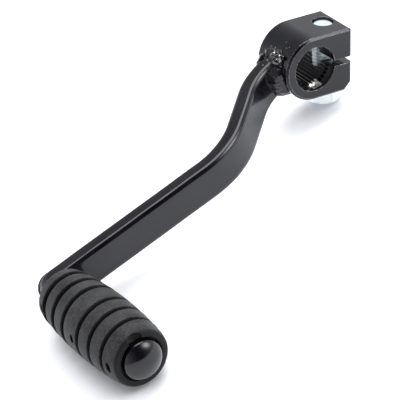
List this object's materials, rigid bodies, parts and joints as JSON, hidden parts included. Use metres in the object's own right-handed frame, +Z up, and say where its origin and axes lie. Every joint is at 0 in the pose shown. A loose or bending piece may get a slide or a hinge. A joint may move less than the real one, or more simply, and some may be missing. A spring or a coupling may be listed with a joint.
{
  "type": "gear shift lever",
  "caption": "Foot gear shift lever: a bent flat bar from a slit, splined clamp hub with a pinch bolt to a foot peg with a ribbed rubber grip.",
  "frame": {"origin": "centre of the splined bore, halfway along the hub's width", "axes": "+Y along the bore towards the engine, the foot peg points to -Y; -X towards the foot peg; +Z up for the lever lying on its grip and bolt head"},
  "size_m": [0.1586, 0.0894, 0.0359],
  "materials": {
    "black_enamel": "gloss black enamel over steel",
    "rubber": "matt moulded rubber",
    "zinc": "bright zinc plate"
  },
  "bodies": {
    "lever": {"clamp_hub": "black_enamel", "shift_arm": "black_enamel", "weld_foot_side": "black_enamel", "weld_engine_side": "black_enamel", "weld_upper_edge": "black_enamel", "weld_lower_edge": "black_enamel", "weld_plug": "black_enamel", "foot_peg": "black_enamel", "grip_rubber": "rubber"},
    "washer": {"lock_washer": "zinc"},
    "bolt": {"clamp_bolt": "zinc"}
  },
  "joints": [
    {"name": "bolt_travel", "type": "slide", "parent": "lever", "child": "washer", "axis": [-0.342, 0, -0.9397], "range_m": [0, 0.01]},
    {"name": "bolt_turn", "type": "hinge", "parent": "washer", "child": "bolt", "pos_m": [0.0101, 0.001, -0.00368], "axis": [-0.342, 0, -0.9397], "range_deg": [0, 2880]}
  ],
  "couplings": [
    {"joint": "bolt_travel", "follows": "bolt_turn", "m_per_rad": 0.00019894}
  ]
}
